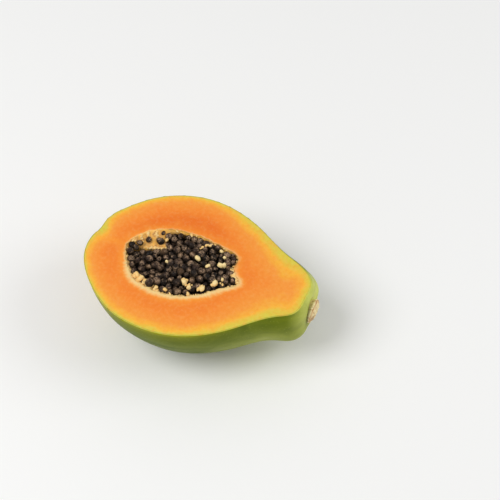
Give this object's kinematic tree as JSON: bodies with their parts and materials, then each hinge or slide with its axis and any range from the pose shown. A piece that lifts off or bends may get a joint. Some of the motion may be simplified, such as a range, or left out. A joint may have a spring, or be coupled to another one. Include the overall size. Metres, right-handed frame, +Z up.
{
  "type": "papaya half",
  "caption": "Half of a ripe papaya cut lengthwise, lying on its skin with the seed-filled cavity facing up.",
  "frame": {"origin": "centre of the bounding box in plan, on the surface that the belly rests on", "axes": "+X along the fruit towards the stem end, +Z up, square to the cut face"},
  "size_m": [0.1576, 0.1088, 0.0639],
  "materials": {
    "fruit": "orange wet flesh inside a thin waxy green skin",
    "seeds": "black-brown wrinkled seeds in a thin glossy coat, a few of them cream",
    "stump": "dry tan cork with a pale rim"
  },
  "bodies": {
    "root": {"fruit_half": "fruit", "seed_mass": "seeds", "stem_stump": "stump"}
  },
  "joints": []
}
